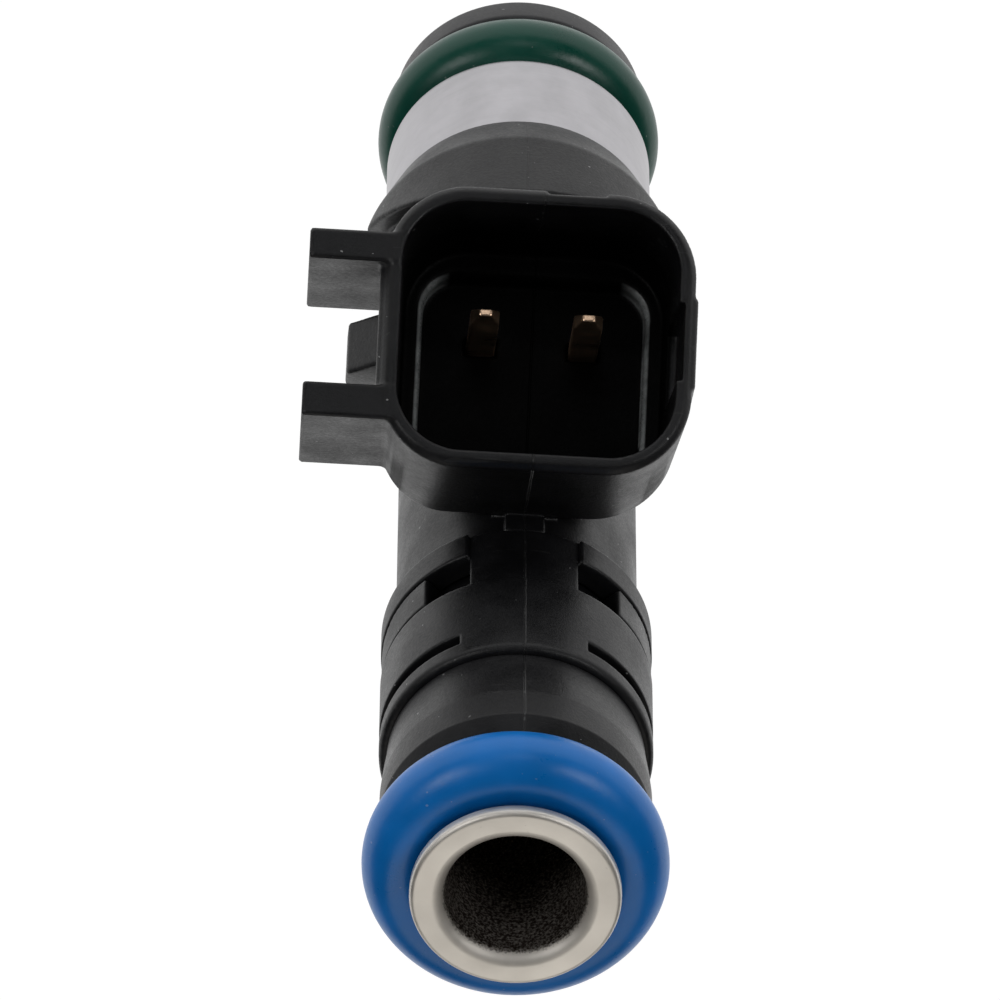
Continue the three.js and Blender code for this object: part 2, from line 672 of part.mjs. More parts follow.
function filterCage() {
  const ring = turned([
    [2.55, FILTER_TOP_Z - 2],
    [TUBE_BORE_R - FIT, FILTER_TOP_Z - 2],
    [TUBE_BORE_R - FIT, FILTER_TOP_Z, 0.2],
    [2.55, FILTER_TOP_Z],
  ], INNER_SIDES);
  const foot = new THREE.CylinderGeometry(3.05, 2.8, 0.8, INNER_SIDES).rotateX(Math.PI / 2);
  foot.translate(0, 0, FILTER_BOTTOM_Z + 0.4);
  const ribCount = 4;
  const ribs = Array.from({ length: ribCount }, (_, i) =>
    block(-0.3, 0.3, -3.0, -2.6, FILTER_BOTTOM_Z + 0.4, FILTER_TOP_Z - 1).rotateZ(i * 2 * Math.PI / ribCount));
  return combine(ring, [foot, ...ribs], []);
}

function filterMesh() {
  return tube(2.5, 2.32, FILTER_BOTTOM_Z + 0.85, FILTER_TOP_Z - 0.1, INNER_SIDES);
}

// ---- Assembly -------------------------------------------------------------------------

const finish = {
  moulding: { color: 0x1b1c1f, roughness: 0.6, metalness: 0 },
  collar: { color: 0x202125, roughness: 0.6, metalness: 0 },
  blueRubber: { color: 0x1458b8, roughness: 0.4, metalness: 0 },
  greenRubber: { color: 0x054b3c, roughness: 0.4, metalness: 0 },
  stainless: { color: 0xc9c6c0, roughness: 0.3, metalness: 1 },
  silver: { color: 0xb9babf, roughness: 0.35, metalness: 1 },
  magnetSteel: { color: 0x9a9a9c, roughness: 0.4, metalness: 1 },
  springSteel: { color: 0x8c8f94, roughness: 0.3, metalness: 1 },
  hardSteel: { color: 0xa8abb0, roughness: 0.15, metalness: 1 },
  copper: { color: 0xb5652a, roughness: 0.4, metalness: 1 },
  plated: { color: 0xd39a55, roughness: 0.3, metalness: 1 },
  amberPlastic: { color: 0x6b5a3c, roughness: 0.5, metalness: 0 },
  capPlastic: { color: 0x3a3b3d, roughness: 0.5, metalness: 0 },
};

const injector = new THREE.Group();

function place(name, geometry, look) {
  const mesh = new THREE.Mesh(geometry, new THREE.MeshStandardMaterial(look));
  mesh.name = name;
  injector.add(mesh);
}

place('inlet_tube', inletTube(), finish.stainless);
place('upper_seal_ring', sealRing(SEAL_SPACING), finish.blueRubber);
place('support_cone', supportCone(), finish.collar);
place('adapter_collar', adapterCollar(), finish.collar);
place('moulded_body', mouldedBody(), finish.moulding);
place('terminal_left', terminal(1), finish.plated);
place('terminal_right', terminal(-1), finish.plated);
place('filter_cage', filterCage(), finish.amberPlastic);
place('filter_mesh', filterMesh(), finish.magnetSteel);
place('adjusting_sleeve', adjustingSleeve(), finish.stainless);
place('return_spring', returnSpring(), finish.springSteel);
place('pole_core', poleCore(), finish.magnetSteel);
place('valve_sleeve', valveSleeve(), finish.stainless);
place('coil_bobbin', coilBobbin(), finish.amberPlastic);
place('coil_winding', coilWinding(), finish.copper);
place('flux_washer', fluxWasher(), finish.magnetSteel);
place('magnet_housing', magnetHousing(), finish.silver);
place('valve_body', valveBody(), finish.stainless);
place('armature', armature(), finish.magnetSteel);
place('valve_needle', valveNeedle(), finish.stainless);
place('valve_ball', valveBall(), finish.hardSteel);
place('valve_seat', valveSeat(), finish.hardSteel);
place('orifice_plate', orificePlate(), finish.stainless);
place('lower_seal_ring', sealRing(0), finish.greenRubber);
place('nozzle_cap', nozzleCap(), finish.capPlastic);

export default injector;
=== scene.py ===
"""Fuel injector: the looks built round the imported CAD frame.

Sizes in the helper code are millimetres, because the piece is small; make_mesh() turns them
into metres. Z runs along the injector's axis, from the nozzle to the rail inlet.
"""

import json
import math

import bmesh
import bpy
import numpy as np
from mathutils import Matrix, Vector


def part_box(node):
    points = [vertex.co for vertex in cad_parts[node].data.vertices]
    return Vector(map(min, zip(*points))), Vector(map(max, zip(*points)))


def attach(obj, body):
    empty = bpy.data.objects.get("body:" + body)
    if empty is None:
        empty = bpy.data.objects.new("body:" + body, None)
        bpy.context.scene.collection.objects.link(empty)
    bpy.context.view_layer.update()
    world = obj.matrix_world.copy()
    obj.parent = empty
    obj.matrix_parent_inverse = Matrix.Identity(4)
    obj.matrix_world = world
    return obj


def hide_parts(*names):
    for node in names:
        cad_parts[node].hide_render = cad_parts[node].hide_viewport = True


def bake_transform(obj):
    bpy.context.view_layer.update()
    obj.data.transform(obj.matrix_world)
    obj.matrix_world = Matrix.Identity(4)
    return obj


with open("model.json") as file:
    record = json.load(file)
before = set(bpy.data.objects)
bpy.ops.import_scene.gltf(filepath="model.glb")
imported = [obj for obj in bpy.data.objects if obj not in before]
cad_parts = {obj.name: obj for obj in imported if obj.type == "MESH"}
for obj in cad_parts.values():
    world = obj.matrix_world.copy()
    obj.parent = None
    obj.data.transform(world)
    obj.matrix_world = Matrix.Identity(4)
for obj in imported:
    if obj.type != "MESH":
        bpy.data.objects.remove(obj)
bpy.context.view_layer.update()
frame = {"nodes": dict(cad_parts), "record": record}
MM = 0.001


def cad_box(node):
    """A CAD node's lowest and highest corner, in millimetres."""
    lo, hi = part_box(node)
    return np.array(lo) / MM, np.array(hi) / MM


# ---- Sizes taken from the frame ---------------------------------------------------------

TUBE_LO, TUBE_HI = cad_box("inlet_tube")
RING_LO, RING_HI = cad_box("upper_seal_ring")
CONE_LO, CONE_HI = cad_box("support_cone")
COLLAR_LO, COLLAR_HI = cad_box("adapter_collar")
BODY_LO, BODY_HI = cad_box("moulded_body")
HOUSING_LO, HOUSING_HI = cad_box("magnet_housing")
CAP_LO, CAP_HI = cad_box("nozzle_cap")
PIN_LO, PIN_HI = cad_box("terminal_left")
SPRING_LO, SPRING_HI = cad_box("return_spring")

FLANGE_R = TUBE_HI[0]
TUBE_R = 3.72
TUBE_BORE_R = 3.35
FIT = 0.04  # the gap between pieces that fit into each other
RING_SECTION_R = 1.765
RING_R = RING_HI[0]
UPPER_RING_Z = (RING_LO[2] + RING_HI[2]) / 2
LOWER_RING_Z = 0.0  # the frame's origin is the lower ring's centre
CONE_R = CONE_HI[0]
COLLAR_R = COLLAR_HI[0]
COLLAR_INNER_R = 5.4
NECK_R = 5.88
SPIGOT_R = 5.3
COVER_R = BODY_HI[1]
COVER_BOTTOM_Z = BODY_LO[2]
COVER_TOP_Z = 25.0
SHOULDER_Z = 29.5
TAB_HALF_WIDTH, TAB_LO_Z, TAB_HI_Z = 0.95, 43.5, 45.05
WEDGE_R = 8.1
WEDGE_FULL_Z = 12.25
WEDGE_V = 14.2
HOUSING_R = HOUSING_HI[0]
HOUSING_FLOOR = 0.9
HOUSING_BORE_R = 5.9
VALVE_BORE_R = 3.76  # the hole in the housing's floor and in the cap for the valve body
HOUSING_UPPER_R = 6.45
HOUSING_STEP_Z = COVER_BOTTOM_Z - 0.05
CAP_HOLE_R, CAP_FACE_R, CAP_LIP, CAP_FLOOR = 2.4, 4.6, 0.45, 0.95

# Connector: x across, v towards the nozzle, depth into the mouth.
PLUG_ANGLE = math.radians(50)
MOUTH = np.array([0.0, -16.7, 43.2])
DEPTH_AXIS = np.array([0.0, math.sin(PLUG_ANGLE), -math.cos(PLUG_ANGLE)])
V_AXIS = np.array([0.0, -math.cos(PLUG_ANGLE), -math.sin(PLUG_ANGLE)])
SHROUD_X, SHROUD_V, SHROUD_CORNER = 7.5, 7.05, 4.0
SHROUD_DEPTH, BASE_DEPTH, ARM_DEPTH = 8.4, 9.5, 21.0
SHROUD_NARROWING = 0.35  # how much narrower the shroud's back is, on each side
RIM_CHAMFER = 0.32
KEY_SLOT_DEPTH = 5.6
TIP_CHAMFER = 0.8
CAVITY_X, CAVITY_V, CAVITY_CORNER = 6.7, 6.25, 3.2
CAVITY_STEP, CAVITY_FLOOR = 7.4, 8.7
WELL_X, WELL_V, WELL_CORNER = 5.45, 4.7, 1.8
WINGS, WING_DEPTH = ((2.97, 4.46), (-4.92, -3.24)), 8.4
WING_REACH = BODY_HI[0]
RAMP_REACH, RAMP_FROM, RAMP_TO = 9.05, -1.5, 1.05
WALL_RIB_HALF_WIDTH = 3.85
PIN_X = (PIN_LO[0] + PIN_HI[0]) / 2
PIN_V, PIN_WIDTH, PIN_THICK, PIN_TIP = 1.5, 1.4, 0.7, 2.8
LEG_X, LEG_Y, LEG_WIDTH = 2.2, -4.45, 0.8

# Collar cut-outs, as angles from the connector's side.
SLOT_Z, SLOT_HEIGHT, SLOT_FROM, SLOT_TO = 53.64, 0.72, 28.2, 104.0
WINDOW_Z, WINDOW_HEIGHT, WINDOW_FROM, WINDOW_TO = 47.1, 2.5, 24.6, 136.0
LUG_FROM, LUG_GAP = 45.4, 0.14
PANEL_RECESS = 0.22

# The pocket in the body for the bobbin's boss, and the bores through the body.
BOSS_LO_R, BOSS_HI_R, BOSS_TOP_Z, BOSS_BEARING = 4.0, 5.9, 24.92, 37
POCKET_GAP = 0.1

# The return spring.
SPRING_WIRE_R, SPRING_TURNS = 0.19, 8


# ---- Meshes -----------------------------------------------------------------------------


def make_mesh(name, points, faces):
    """A smooth-shaded object from points in millimetres and a list or array of faces."""
    mesh = bpy.data.meshes.new(name)
    mesh.from_pydata((np.asarray(points) * MM).tolist(), [], [list(map(int, f)) for f in faces])
    mesh.validate()
    mesh.shade_smooth()
    obj = bpy.data.objects.new(name, mesh)
    bpy.context.scene.collection.objects.link(obj)
    return obj


def crease(obj, angle=38):
    """Marks the edges that turn by more than the angle as sharp."""
    edit = bmesh.new()
    edit.from_mesh(obj.data)
    for edge in edit.edges:
        if len(edge.link_faces) == 2 and edge.calc_face_angle() > math.radians(angle):
            edge.smooth = False
    edit.to_mesh(obj.data)
    edit.free()


def finish_piece(obj, body, replaced, material):
    """Puts a piece on its body and gives it its material."""
    obj.data.materials.append(material)
    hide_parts(*replaced)
    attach(obj, body)


def rounded(corners, steps=6):
    """Corners (r, z, radius) as points, each corner with a radius turned into an arc."""
    points = []
    count = len(corners)
    for i, corner in enumerate(corners):
        here = np.array(corner[:2], float)
        radius = corner[2] if len(corner) > 2 else 0
        if not radius:
            points.append(here)
            continue
        back = np.array(corners[i - 1][:2], float) - here
        on = np.array(corners[(i + 1) % count][:2], float) - here
        back /= np.linalg.norm(back)
        on /= np.linalg.norm(on)
        half = math.acos(np.clip(back @ on, -1, 1)) / 2
        reach = radius / math.tan(half)
        middle = (back + on) / np.linalg.norm(back + on)
        centre = here + middle * radius / math.sin(half)
        start, end = here + back * reach - centre, here + on * reach - centre
        a0, a1 = math.atan2(start[1], start[0]), math.atan2(end[1], end[0])
        turn = (a1 - a0 + math.pi) % (2 * math.pi) - math.pi
        for t in np.linspace(0, 1, steps + 1):
            angle = a0 + turn * t
            points.append(centre + radius * np.array([math.cos(angle), math.sin(angle)]))
    return points


def turned(name, corners, sides=192, steps=6):
    """A closed turned piece from its outline in (r, z)."""
    profile = np.array(rounded(corners, steps))
    angles = np.arange(sides) * 2 * math.pi / sides
    r, z = profile[:, 0], profile[:, 1]
    points = np.stack([
        np.outer(np.cos(angles), r), np.outer(np.sin(angles), r), np.tile(z, (sides, 1)),
    ], axis=-1).reshape(-1, 3)
    count = len(profile)
    faces = []
    for i in range(sides):
        a, b = i * count, (i + 1) % sides * count
        for j in range(count):
            k = (j + 1) % count
            faces.append((a + j, b + j, b + k, a + k))
    obj = make_mesh(name, points, faces)
    crease(obj)
    return obj


# ---- Solids from distance fields --------------------------------------------------------
# A field is negative inside the solid. smooth_union() leaves a fillet in an inside corner
# and smooth_cut() or smooth_both() a rounded outside edge.


def smooth_union(a, b, k):
    h = np.clip(0.5 + 0.5 * (b - a) / k, 0, 1)
    return b + (a - b) * h - k * h * (1 - h)


def smooth_both(a, b, k):
    return -smooth_union(-a, -b, k)


def smooth_cut(a, b, k):
    return -smooth_union(-a, b, k)


def polygon(u, w, corners, steps=4):
    """Distance to a closed outline in the (u, w) plane."""
    outline = np.array(rounded(corners, steps))
    nearest = np.full(u.shape, 1e9)
    inside = np.zeros(u.shape, bool)
    for i, (u0, w0) in enumerate(outline):
        u1, w1 = outline[(i + 1) % len(outline)]
        du, dw = u1 - u0, w1 - w0
        length = du * du + dw * dw
        if length < 1e-12:
            continue
        t = np.clip(((u - u0) * du + (w - w0) * dw) / length, 0, 1)
        nearest = np.minimum(nearest, (u - u0 - t * du) ** 2 + (w - w0 - t * dw) ** 2)
        if dw:
            crosses = ((w0 <= w) & (w < w1)) | ((w1 <= w) & (w < w0))
            inside ^= crosses & (u < u0 + (w - w0) * du / dw)
    distance = np.sqrt(nearest)
    return np.where(inside, -distance, distance)


def rounded_box(deltas, radius):
    """Distance to a rounded box from the per-axis distances to its faces."""
    grown = [d + radius for d in deltas]
    outside = np.sqrt(sum(np.maximum(g, 0) ** 2 for g in grown))
    inner = grown[0]
    for g in grown[1:]:
        inner = np.maximum(inner, g)
    return outside + np.minimum(inner, 0) - radius


def span(value, low, high):
    """Distance to a slab between two values."""
    return np.abs(value - (low + high) / 2) - (high - low) / 2


def axis_coordinates(x, y):
    """Distance from the axis, and the angle in degrees from the connector's side."""
    return np.sqrt(x * x + y * y), np.degrees(np.arctan2(np.abs(x), -y))


def arc(degrees, r):
    """The length of an arc at radius r."""
    return degrees * math.pi / 180 * r


def plug_coordinates(x, y, z):
    """x, v and depth of points given in the row frame."""
    dy, dz = y - MOUTH[1], z - MOUTH[2]
    return x, dy * V_AXIS[1] + dz * V_AXIS[2], dy * DEPTH_AXIS[1] + dz * DEPTH_AXIS[2]


BLOCK = 8  # the grid is sampled in blocks of this many cells each way


def sample(field, axes):
    """The field on a grid. Blocks that the surface can't reach only get their sign."""
    block = BLOCK
    cell = axes[0][1] - axes[0][0]
    shape = [len(axis) for axis in axes]
    middles = [axis.reshape(-1, block).mean(1) for axis in axes]
    coarse = field(*(m.ravel() for m in np.meshgrid(*middles, indexing="ij")))
    coarse = coarse.reshape([len(m) for m in middles])
    near = np.argwhere(np.abs(coarse) < cell * block * 0.9 + 0.4)
    values = np.repeat(np.repeat(np.repeat(coarse, block, 0), block, 1), block, 2)
    values = values.reshape(shape)
    steps = np.arange(block)
    for start in range(0, len(near), 1500):
        part = near[start:start + 1500]
        i, j, k = (part[:, a, None] * block + steps for a in range(3))
        grid = np.broadcast_arrays(i[:, :, None, None], j[:, None, :, None], k[:, None, None, :])
        i, j, k = (g.ravel() for g in grid)
        values[i, j, k] = field(axes[0][i], axes[1][j], axes[2][k])
    return values


def surface(name, field, low, high, cell):
    """The zero surface of a field as a mesh of quads, with its points moved onto it."""
    low = np.array(low, float) - 2.3 * cell
    counts = np.ceil((np.array(high) - low + 3 * cell) / cell / BLOCK).astype(int) * BLOCK
    axes = [low[a] + cell * np.arange(counts[a]) for a in range(3)]
    values = sample(field, axes)
    inside = values < 0
    corners = [(i, j, k) for i in (0, 1) for j in (0, 1) for k in (0, 1)]
    cells = [c - 1 for c in counts]
    some = np.zeros(cells, bool)
    every = np.ones(cells, bool)
    for i, j, k in corners:
        corner = inside[i:i + cells[0], j:j + cells[1], k:k + cells[2]]
        some |= corner
        every &= corner
    active = np.argwhere(some & ~every)
    at = np.array([values[tuple((active + c).T)] for c in corners])
    total = np.zeros((len(active), 3))
    hits = np.zeros(len(active))
    for a, first in enumerate(corners):
        for axis in range(3):
            if first[axis]:
                continue
            b = corners.index(tuple(1 if axis == n else first[n] for n in range(3)))
            crossing = (at[a] < 0) != (at[b] < 0)
            t = np.where(crossing, at[a] / np.where(crossing, at[a] - at[b], 1), 0)
            point = np.tile(np.array(first, float), (len(active), 1))
            point[:, axis] += t
            total += point * crossing[:, None]
            hits += crossing
    points = low + cell * (active + total / hits[:, None])
    for _ in range(2):
        points = on_surface(field, points, cell * 0.5)
    number = np.full(cells, -1)
    number[tuple(active.T)] = np.arange(len(active))
    faces = []
    for axis in range(3):
        ahead = [slice(None)] * 3
        ahead[axis] = slice(1, None)
        behind = [slice(None)] * 3
        behind[axis] = slice(None, -1)
        change = np.argwhere(inside[tuple(ahead)] != inside[tuple(behind)])
        outward = inside[tuple(behind)][tuple(change.T)]
        b, c = np.eye(3, dtype=int)[[(axis + 1) % 3, (axis + 2) % 3]]
        quad = np.stack([number[tuple((change - s).T)] for s in (0 * b, b, b + c, c)], 1)
        faces.append(np.where(outward[:, None], quad, quad[:, ::-1]))
    return make_mesh(name, points, np.concatenate(faces))


def on_surface(field, points, limit):
    """The points moved along the field's slope onto its zero surface."""
    step = 0.01
    value = field(*points.T)
    slope = np.stack([
        (field(*(points + step * d).T) - field(*(points - step * d).T)) / (2 * step)
        for d in np.eye(3)
    ], 1)
    size = np.maximum((slope ** 2).sum(1), 0.2)
    move = np.clip(-value / size, -limit, limit)
    return points + slope * move[:, None]


# ---- The moulded body -------------------------------------------------------------------


def shroud_field(x, v, depth):
    """The connector's shroud: a tapered rounded block with a chamfered rim."""
    back = np.clip(depth / SHROUD_DEPTH, 0, 1)
    corner = SHROUD_CORNER + np.where(x > 0, -0.6 * back, 0.15)
    half_x = SHROUD_X - back * SHROUD_NARROWING
    side = rounded_box([np.abs(x) - half_x, np.abs(v) - SHROUD_V], corner)
    chamfer = (side - depth + RIM_CHAMFER) * math.sqrt(0.5)
    front = smooth_both(smooth_both(side, -depth, 0.04), chamfer, 0.08)
    return smooth_both(front, depth - SHROUD_DEPTH, 0.3)


def arm_field(x, v, depth):
    """The plug's base behind the shroud and the arm that joins it to the coil cover."""
    stages = [BASE_DEPTH, BASE_DEPTH + 3, ARM_DEPTH]
    half_x = np.interp(depth, stages, [6.2, 5.4, 4.4])
    half_v = np.interp(depth, stages, [5.5, 5.1, 5.1])
    side = rounded_box([np.abs(x) - half_x, np.abs(v - 0.3) - half_v], 3.2)
    return np.maximum(side, span(depth, CAVITY_STEP, ARM_DEPTH))


def latch_field(x, v, depth):
    """Guide wings, the locking ramp between them, and the ribs on the shroud's sides."""
    wing = np.minimum(*[
        rounded_box([
            span(x, SHROUD_X - 0.8, WING_REACH - 0.015 * depth), span(v, low, high),
            span(depth, 0.02, WING_DEPTH),
        ], 0.14)
        for low, high in WINGS
    ])
    side = polygon(x, depth, [
        (SHROUD_X - 0.8, 1.9),
        (SHROUD_X - 0.1, 2.1),
        (RAMP_REACH, 4.3, 0.2),
        (RAMP_REACH, 6.2, 0.12),
        (SHROUD_X - 0.8, 6.2),
    ])
    ramp = smooth_both(side, span(v, RAMP_FROM, RAMP_TO), 0.15)
    wall_rib = rounded_box([
        span(x, SHROUD_X - 0.8, SHROUD_X + 0.2), np.abs(v) - WALL_RIB_HALF_WIDTH,
        span(depth, 0.5, 1.6),
    ], 0.12)
    key_rib = rounded_box([
        span(x, -SHROUD_X - 0.12, -SHROUD_X + 0.8), span(v, -2.5, 2), span(depth, 0.35, 6),
    ], 0.15)
    return np.minimum(smooth_union(wing, wall_rib, 0.2), np.minimum(ramp, key_rib))


def cavity_field(x, v, depth):
    """The plug's socket: a tapering mouth, a deeper well, the key slot and the rim's notch."""
    taper = np.clip(depth, 0, CAVITY_STEP) / CAVITY_STEP
    mouth = rounded_box([
        np.abs(x) - CAVITY_X + 0.35 * taper, np.abs(v) - CAVITY_V + 0.3 * taper,
    ], CAVITY_CORNER)
    mouth = smooth_both(mouth, depth - CAVITY_STEP, 0.25)
    well = rounded_box([np.abs(x) - WELL_X, np.abs(v) - WELL_V], WELL_CORNER)
    well = smooth_both(well, depth - CAVITY_FLOOR, 0.2)
    key = rounded_box([
        span(x, -CAVITY_X - 0.28, -CAVITY_X + 1), span(v, -2.2, 1.7),
        span(depth, -1, KEY_SLOT_DEPTH),
    ], 0.1)
    notch = rounded_box([
        span(x, -3.0, -0.2), span(v, SHROUD_V - 0.2, SHROUD_V + 1), span(depth, -1, 2),
    ], 0.04)
    return np.minimum(np.minimum(smooth_union(mouth, well, 0.5), key), notch)


def terminal_field(x, y, z, side, gap=0.0):
    """A bent terminal with a chamfered tip, or its pocket when it's given a gap."""
    half = PIN_THICK / 2 + gap
    px, v, depth = plug_coordinates(x - side * PIN_X, y, z)
    tip = PIN_TIP - gap
    chamfer = np.clip((depth - tip) / TIP_CHAMFER, 0, 1)
    blade = smooth_both(
        np.abs(px) - (PIN_WIDTH / 2 - 0.4 * (1 - chamfer)) - gap,
        np.abs(v - PIN_V) - half + 0.18 * (1 - chamfer), 0.1,
    )
    blade = smooth_both(blade, tip - depth, 0.06)
    blade = np.maximum(blade, y - (LEG_Y + PIN_THICK / 2 + gap))
    leg = rounded_box([
        np.abs(x - side * LEG_X) - LEG_WIDTH / 2 - gap,
        np.abs(y - LEG_Y) - half,
        span(z, PIN_LO[2] - gap, 31.0),
    ], 0.05)
    return smooth_union(blade, leg, 0.15)


def body_field(x, y, z):
    """Neck, coil cover with its wedge, connector and snap lugs, less socket, bores and pockets."""
    r, bearing = axis_coordinates(x, y)
    px, v, depth = plug_coordinates(x, y, z)
    neck_top = COLLAR_LO[2] - 0.05
    core = polygon(r, z, [
        (-1, COVER_BOTTOM_Z), (COVER_R, COVER_BOTTOM_Z, 0.12), (COVER_R, COVER_TOP_Z, 1.5),
        (NECK_R, SHOULDER_Z, 2.0), (NECK_R, neck_top, 0.1),
        (SPIGOT_R, neck_top), (SPIGOT_R, BODY_HI[2]), (-1, BODY_HI[2]),
    ])
    wedge = polygon(r, z, [
        (-1, COVER_BOTTOM_Z), (COVER_R + 0.08, COVER_BOTTOM_Z, 0.12), (WEDGE_R, WEDGE_FULL_Z, 1.0),
        (WEDGE_R, COVER_TOP_Z), (-1, COVER_TOP_Z),
    ])
    wedge = smooth_both(wedge, WEDGE_V - v, 0.2)
    solid = smooth_union(core, wedge, 0.12)
    connector = smooth_union(shroud_field(px, v, depth), arm_field(px, v, depth), 0.2)
    solid = smooth_union(solid, connector, 0.25)
    solid = smooth_union(solid, latch_field(px, v, depth), 0.25)
    tab = rounded_box([
        np.abs(x) - TAB_HALF_WIDTH, span(y, -NECK_R - 0.3, -NECK_R + 1),
        span(z, TAB_LO_Z, TAB_HI_Z),
    ], 0.08)
    solid = smooth_union(solid, tab, 0.12)
    edge = arc(np.maximum(LUG_FROM - bearing, bearing - (WINDOW_TO - 1.5)), r)
    lug = rounded_box([
        span(r, SPIGOT_R - 0.6, COLLAR_R - 0.06),
        span(z, WINDOW_Z + LUG_GAP, WINDOW_Z + WINDOW_HEIGHT - LUG_GAP),
        edge,
    ], 0.1)
    solid = np.minimum(solid, lug)
    solid = smooth_cut(solid, cavity_field(px, v, depth), 0.16)
    bore = np.maximum(r - TUBE_R - FIT, -z + HOUSING_HI[2] - 1)
    housing = np.maximum(r - HOUSING_UPPER_R - FIT, z - HOUSING_HI[2] - 0.1)
    boss = np.maximum(span(r, BOSS_LO_R, BOSS_HI_R), span(z, HOUSING_HI[2] - 1, BOSS_TOP_Z))
    boss = np.maximum(boss, arc(bearing - BOSS_BEARING, r))
    hollow = np.minimum(np.minimum(bore, housing), boss)
    for side in (-1, 1):
        pocket = terminal_field(x, y, z, side, gap=POCKET_GAP)
        pocket = np.maximum(pocket, CAVITY_FLOOR - 0.5 - depth)
        hollow = np.minimum(hollow, pocket)
    return smooth_cut(solid, hollow, 0.05)


def collar_field(x, y, z):
    """The adapter collar: a sleeve with a shallow front panel, thin slots and snap windows."""
    r, bearing = axis_coordinates(x, y)
    low, high = COLLAR_LO[2], COLLAR_HI[2]
    sleeve = polygon(r, z, [
        (COLLAR_INNER_R, low), (COLLAR_R - 0.01, low, 0.12), (COLLAR_R, high, 0.35),
        (COLLAR_INNER_R, high),
    ])
    panel = np.maximum(COLLAR_R - PANEL_RECESS - r, z - WINDOW_Z - WINDOW_HEIGHT)
    panel = np.maximum(panel, arc(bearing - WINDOW_FROM, r))
    sleeve = smooth_cut(sleeve, panel, 0.08)
    for z0, height, start, end in (
        (SLOT_Z, SLOT_HEIGHT, SLOT_FROM, SLOT_TO),
        (WINDOW_Z, WINDOW_HEIGHT, WINDOW_FROM, WINDOW_TO),
    ):
        edge = arc(np.maximum(start - bearing, bearing - end), r)
        opening = smooth_both(span(z, z0, z0 + height), edge, 0.1)
        sleeve = smooth_cut(sleeve, opening, 0.14)
    return sleeve


# ---- Materials --------------------------------------------------------------------------


class Nodes:
    """A small wrapper that keeps node building readable."""

    def __init__(self, name):
        self.material = bpy.data.materials.new(name)
        self.material.use_nodes = True
        self.tree = self.material.node_tree
        self.shader = self.tree.nodes["Principled BSDF"]
        self.place = self.add("ShaderNodeTexCoord").outputs["Object"]

    def add(self, kind, inputs=None, **settings):
        node = self.tree.nodes.new(kind)
        for key, value in settings.items():
            setattr(node, key, value)
        for key, value in (inputs or {}).items():
            self.feed(node.inputs[key], value)
        return node

    def feed(self, socket, value):
        if isinstance(value, bpy.types.NodeSocket):
            self.tree.links.new(value, socket)
        else:
            socket.default_value = value

    def noise(self, size_mm, detail=3, stretch=(1, 1, 1), rough=0.55):
        """Noise whose features are about size_mm wide."""
        moved = self.add("ShaderNodeMapping", {"Vector": self.place, "Scale": stretch})
        return self.add("ShaderNodeTexNoise", {
            "Vector": moved.outputs["Vector"], "Scale": 1 / (size_mm * MM), "Detail": detail,
            "Roughness": rough,
        }).outputs["Fac"]

    def coordinates(self):
        """The X, Y and Z of a point on the piece, in metres."""
        return self.add("ShaderNodeSeparateXYZ", {"Vector": self.place}).outputs

    def ramp(self, value, low, high, out_low=0.0, out_high=1.0):
        """The value's range from low to high, stretched to out_low to out_high and clamped."""
        return self.add("ShaderNodeMapRange", {
            "Value": value, "From Min": low, "From Max": high,
            "To Min": out_low, "To Max": out_high,
        }).outputs["Result"]

    def math(self, operation, a, b=0.0, clamp=False):
        node = self.add("ShaderNodeMath", operation=operation, use_clamp=clamp)
        self.feed(node.inputs[0], a)
        self.feed(node.inputs[1], b)
        return node.outputs[0]

    def mix(self, factor, a, b):
        node = self.add("ShaderNodeMix", data_type="RGBA")
        self.feed(node.inputs["Factor"], factor)
        self.feed(node.inputs["A"], a)
        self.feed(node.inputs["B"], b)
        return node.outputs["Result"]

    def bump(self, height, depth_mm, normal=None):
        inputs = {"Height": height, "Distance": depth_mm * MM, "Strength": 1.0}
        if normal is not None:
            inputs["Normal"] = normal
        return self.add("ShaderNodeBump", inputs).outputs["Normal"]

    def done(self, color, roughness, normal, metallic=0.0, **extra):
        self.feed(self.shader.inputs["Base Color"], color)
        self.feed(self.shader.inputs["Roughness"], roughness)
        self.feed(self.shader.inputs["Normal"], normal)
        self.feed(self.shader.inputs["Metallic"], metallic)
        for key, value in extra.items():
            self.feed(self.shader.inputs[key.replace("_", " ")], value)
        return self.material


def grey(value, tint=(1, 1, 1)):
    """An opaque grey, tinted."""
    return tuple(value * t for t in tint) + (1,)


